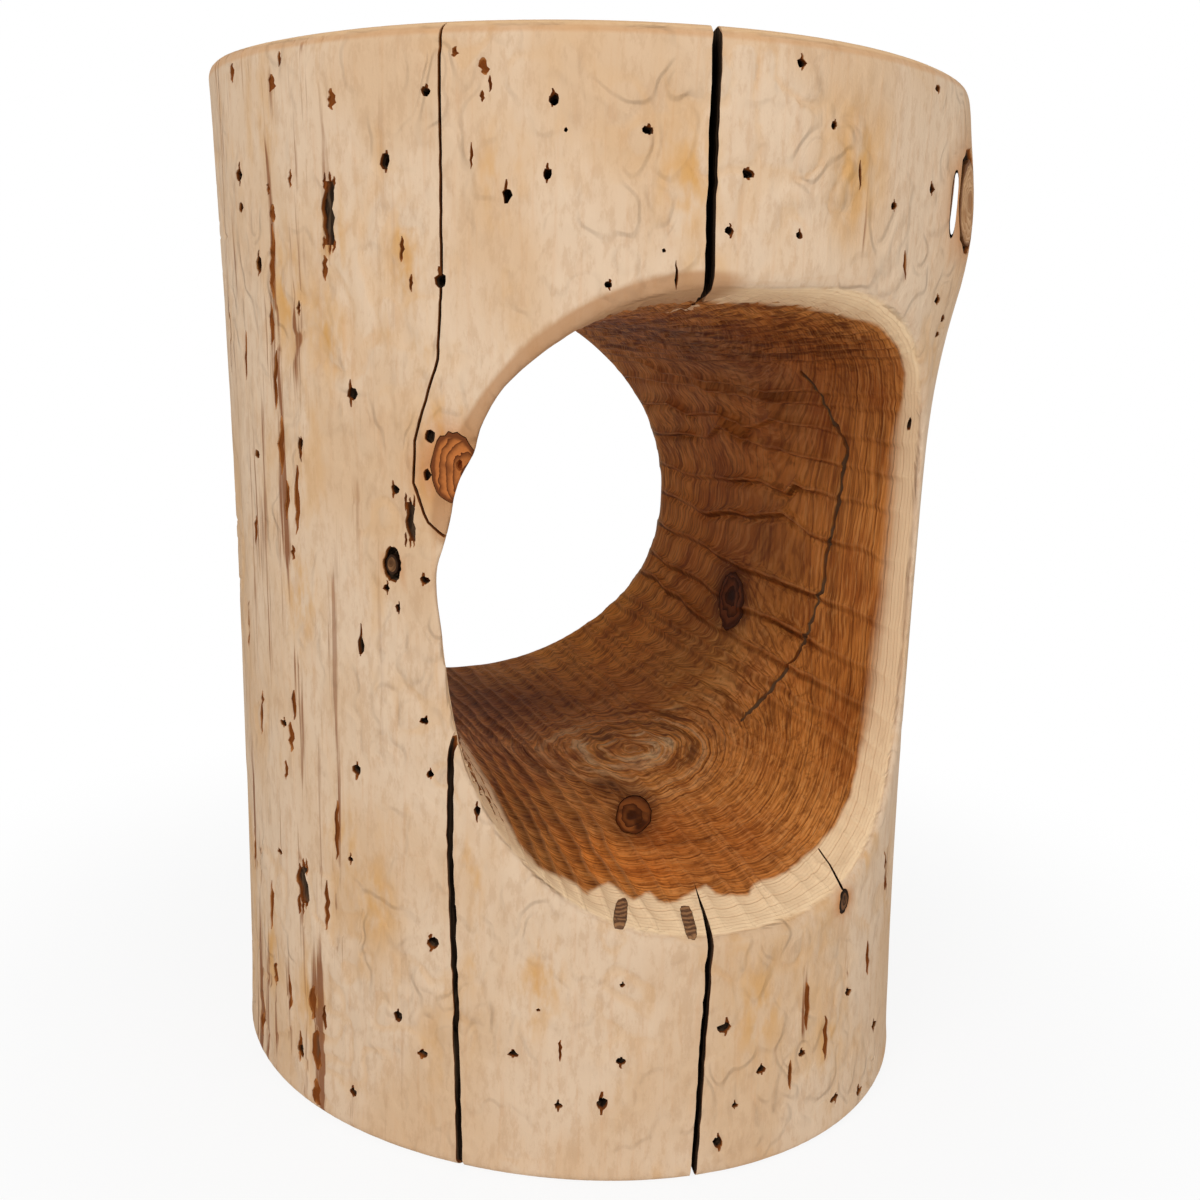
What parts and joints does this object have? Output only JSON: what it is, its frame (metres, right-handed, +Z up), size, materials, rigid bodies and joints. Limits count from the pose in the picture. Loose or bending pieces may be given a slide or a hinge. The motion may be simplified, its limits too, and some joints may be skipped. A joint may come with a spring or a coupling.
{
  "type": "stump side table",
  "caption": "Upright peeled log side table with a rounded hollow carved right through it, drying checks, dead knots and flat sawn ends.",
  "frame": {"origin": "middle of the log's sawn base, on the floor that it stands on", "axes": "+Z up the log; +Y along the hollow from its front mouth to its back mouth; +X to the right seen from the front"},
  "size_m": [0.3376, 0.3545, 0.46],
  "materials": {
    "log_wood": "peeled and sanded, clear matt oil",
    "knot_wood": "bare dead knot, clear matt oil",
    "borer_dust": "packed dust, matt"
  },
  "bodies": {
    "root": {"stump_body": "log_wood", "branch_knot": "knot_wood", "lip_knot": "knot_wood", "side_knot": "knot_wood", "wall_knot": "knot_wood", "floor_knot": "knot_wood", "pin_knot": "knot_wood", "gallery_plugs": "borer_dust"}
  },
  "joints": []
}
